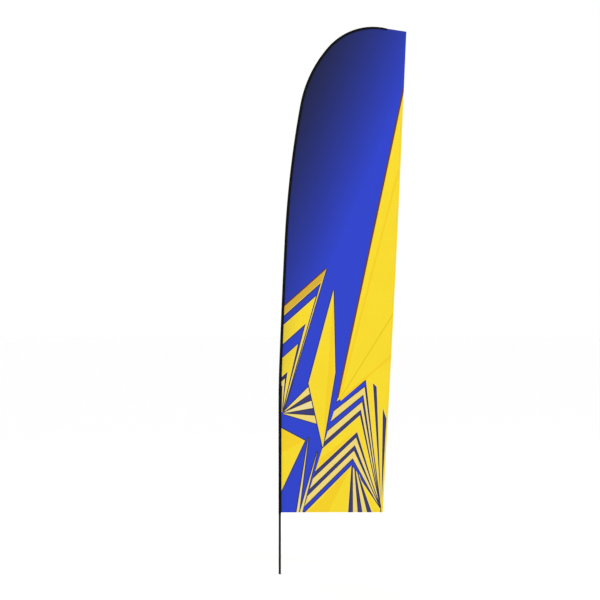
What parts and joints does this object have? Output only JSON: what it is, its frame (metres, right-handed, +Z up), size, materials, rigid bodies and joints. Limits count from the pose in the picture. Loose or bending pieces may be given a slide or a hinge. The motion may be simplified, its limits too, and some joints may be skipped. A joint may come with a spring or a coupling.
{
  "type": "feather flag",
  "caption": "Feather flag: a sectional pole that bends over at the top, with a printed cloth panel on a pole sleeve held down by an elastic tensioner behind the pole.",
  "frame": {"origin": "centre of the pole's foot, at the underside of the foot bush's flange", "axes": "+Z up along the straight lower pole, +X towards the fly edge, -Y towards the front of the flag"},
  "size_m": [0.7138, 0.0237, 3.0514],
  "materials": {
    "glass_fibre": "satin black lacquer",
    "bearing_nylon": "moulded",
    "plate_nylon": "moulded",
    "black_aluminium": "black anodised",
    "turned_aluminium": "turned",
    "ring_steel": "bright wire",
    "cap_rubber": "matt",
    "sleeve_cloth": "black woven polyester",
    "black_webbing": "woven webbing",
    "black_elastic": "ribbed elastic",
    "printed_cloth": "printed knitted polyester"
  },
  "bodies": {
    "foot": {"foot_bush": "bearing_nylon"},
    "lower_pole": {"foot_ferrule": "black_aluminium", "base_section": "glass_fibre", "lower_spigot": "turned_aluminium", "pole_peg": "ring_steel", "peg_washer": "plate_nylon", "anchor_plate": "plate_nylon", "tension_elastic": "black_elastic"},
    "upper_pole": {"second_section": "glass_fibre", "middle_spigot": "turned_aluminium", "third_section": "glass_fibre", "tip_socket": "turned_aluminium", "tip_section": "glass_fibre", "tip_cap": "cap_rubber", "tip_pocket": "black_webbing", "pole_sleeve": "sleeve_cloth", "mouth_binding": "black_webbing", "flag_panel": "printed_cloth", "corner_patch": "sleeve_cloth", "tension_tab": "black_webbing", "tension_ring": "ring_steel"}
  },
  "joints": [
    {"name": "spindle_turn", "type": "hinge", "parent": "foot", "child": "lower_pole", "pos_m": [0, 0, 0], "axis": [0, 0, 1], "continuous": true},
    {"name": "section_pull", "type": "slide", "parent": "lower_pole", "child": "upper_pole", "axis": [0, 0, 1], "range_m": [0, 0.09], "stiffness_N_per_m": 150, "springref_m": -0.03, "deforming": ["tension_elastic"]}
  ]
}
